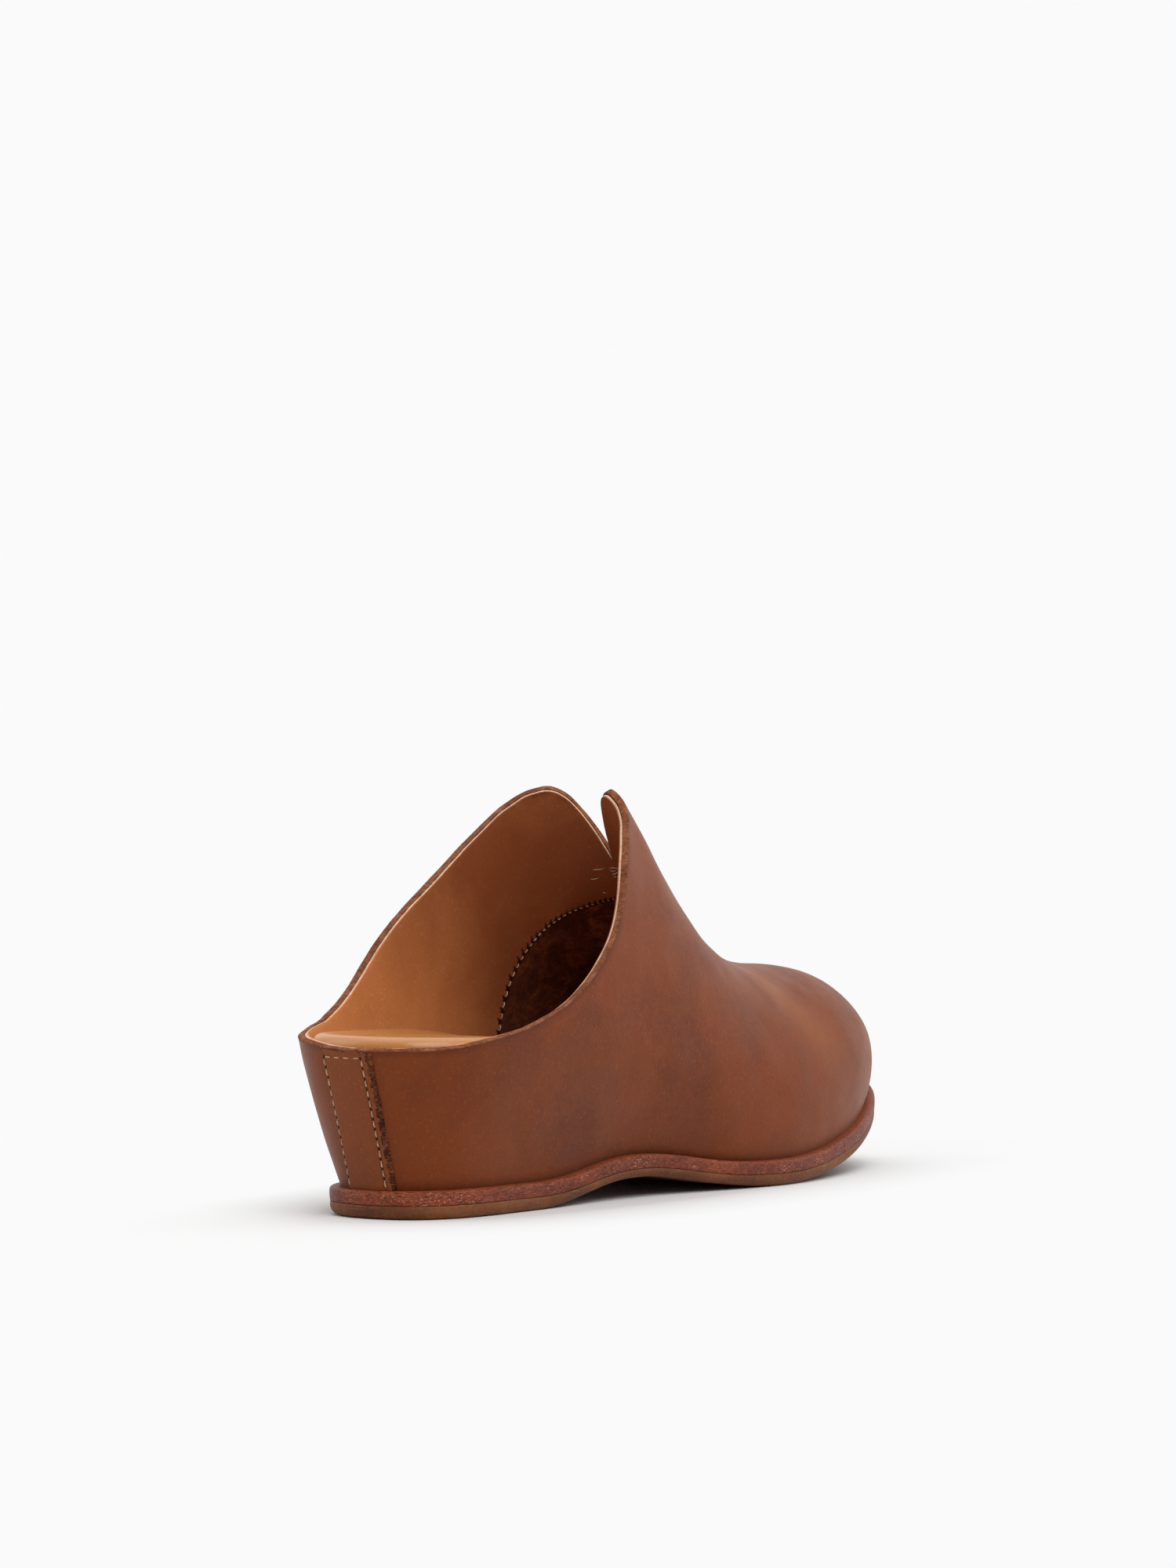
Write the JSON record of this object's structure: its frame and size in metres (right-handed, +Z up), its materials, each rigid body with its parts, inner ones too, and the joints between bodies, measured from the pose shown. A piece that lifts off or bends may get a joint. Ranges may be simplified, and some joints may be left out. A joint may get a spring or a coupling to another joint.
{
  "type": "wedge clog",
  "caption": "Slip-on wedge clog for the right foot: leather upper with a V notch at the instep, open low heel, wood wedge core and rocker rubber sole.",
  "frame": {"origin": "centre of the footprint box, on the ground under the sole", "axes": "+X towards the toe, +Y towards the inner (big toe) side of the right foot, +Z up"},
  "size_m": [0.2541, 0.0842, 0.1163],
  "materials": {
    "gum_rubber": "matte",
    "stacked_leather": "satin",
    "wood": "matte",
    "fibreboard": "matte",
    "foam": "matte",
    "tan_leather": "satin",
    "oiled_leather": "satin",
    "lining_leather": "matte",
    "suede": "matte",
    "thread_gold": "matte",
    "thread_pale": "matte",
    "steel": "satin"
  },
  "bodies": {
    "root": {"backstay_stitching": "thread_gold", "backstay_strip": "oiled_leather", "footbed_cushion": "foam", "heel_screws": "steel", "insole_board": "fibreboard", "lining_stitching": "thread_pale", "midsole": "stacked_leather", "notch_bar_tack": "thread_pale", "outsole": "gum_rubber", "quarter_lining": "lining_leather", "sock_liner": "tan_leather", "steel_shank": "steel", "toe_lining": "suede", "upper": "oiled_leather", "wedge_core": "wood"}
  },
  "joints": []
}
